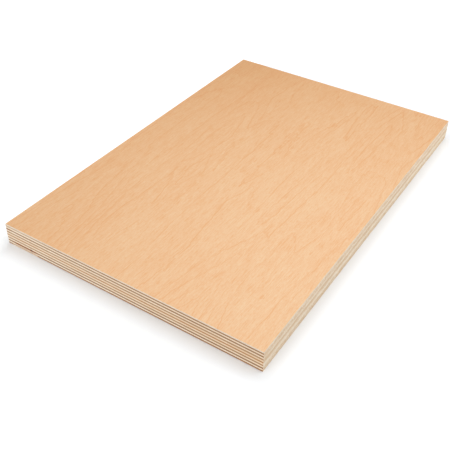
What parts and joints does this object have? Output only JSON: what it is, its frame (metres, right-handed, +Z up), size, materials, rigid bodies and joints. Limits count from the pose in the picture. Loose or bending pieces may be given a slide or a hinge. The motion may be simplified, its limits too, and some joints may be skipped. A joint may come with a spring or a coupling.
{
  "type": "plywood sheet",
  "caption": "Rectangular panel of birch plywood, cut to size, with a smooth tan face veneer over crossed plies that show as pale and dark bands on its square sawn edges.",
  "frame": {"origin": "middle of the underside, on the floor that the panel lies on", "axes": "+X along the short side, +Y along the long side and the face grain, +Z up out of the face"},
  "size_m": [0.22, 0.33, 0.018],
  "materials": {
    "face_veneer": "sanded satin veneer, figure along the long side",
    "long_grain_ply": "sawn birch, end grain on the short sides",
    "cross_grain_ply": "sawn birch, end grain on the long sides"
  },
  "bodies": {
    "root": {"face_veneer": "face_veneer", "ply_01": "long_grain_ply", "ply_02": "cross_grain_ply", "ply_03": "long_grain_ply", "ply_04": "cross_grain_ply", "ply_05": "long_grain_ply", "ply_06": "cross_grain_ply", "ply_07": "long_grain_ply", "ply_08": "cross_grain_ply", "ply_09": "long_grain_ply", "ply_10": "cross_grain_ply", "ply_11": "long_grain_ply", "ply_12": "cross_grain_ply", "ply_13": "long_grain_ply"}
  },
  "joints": []
}
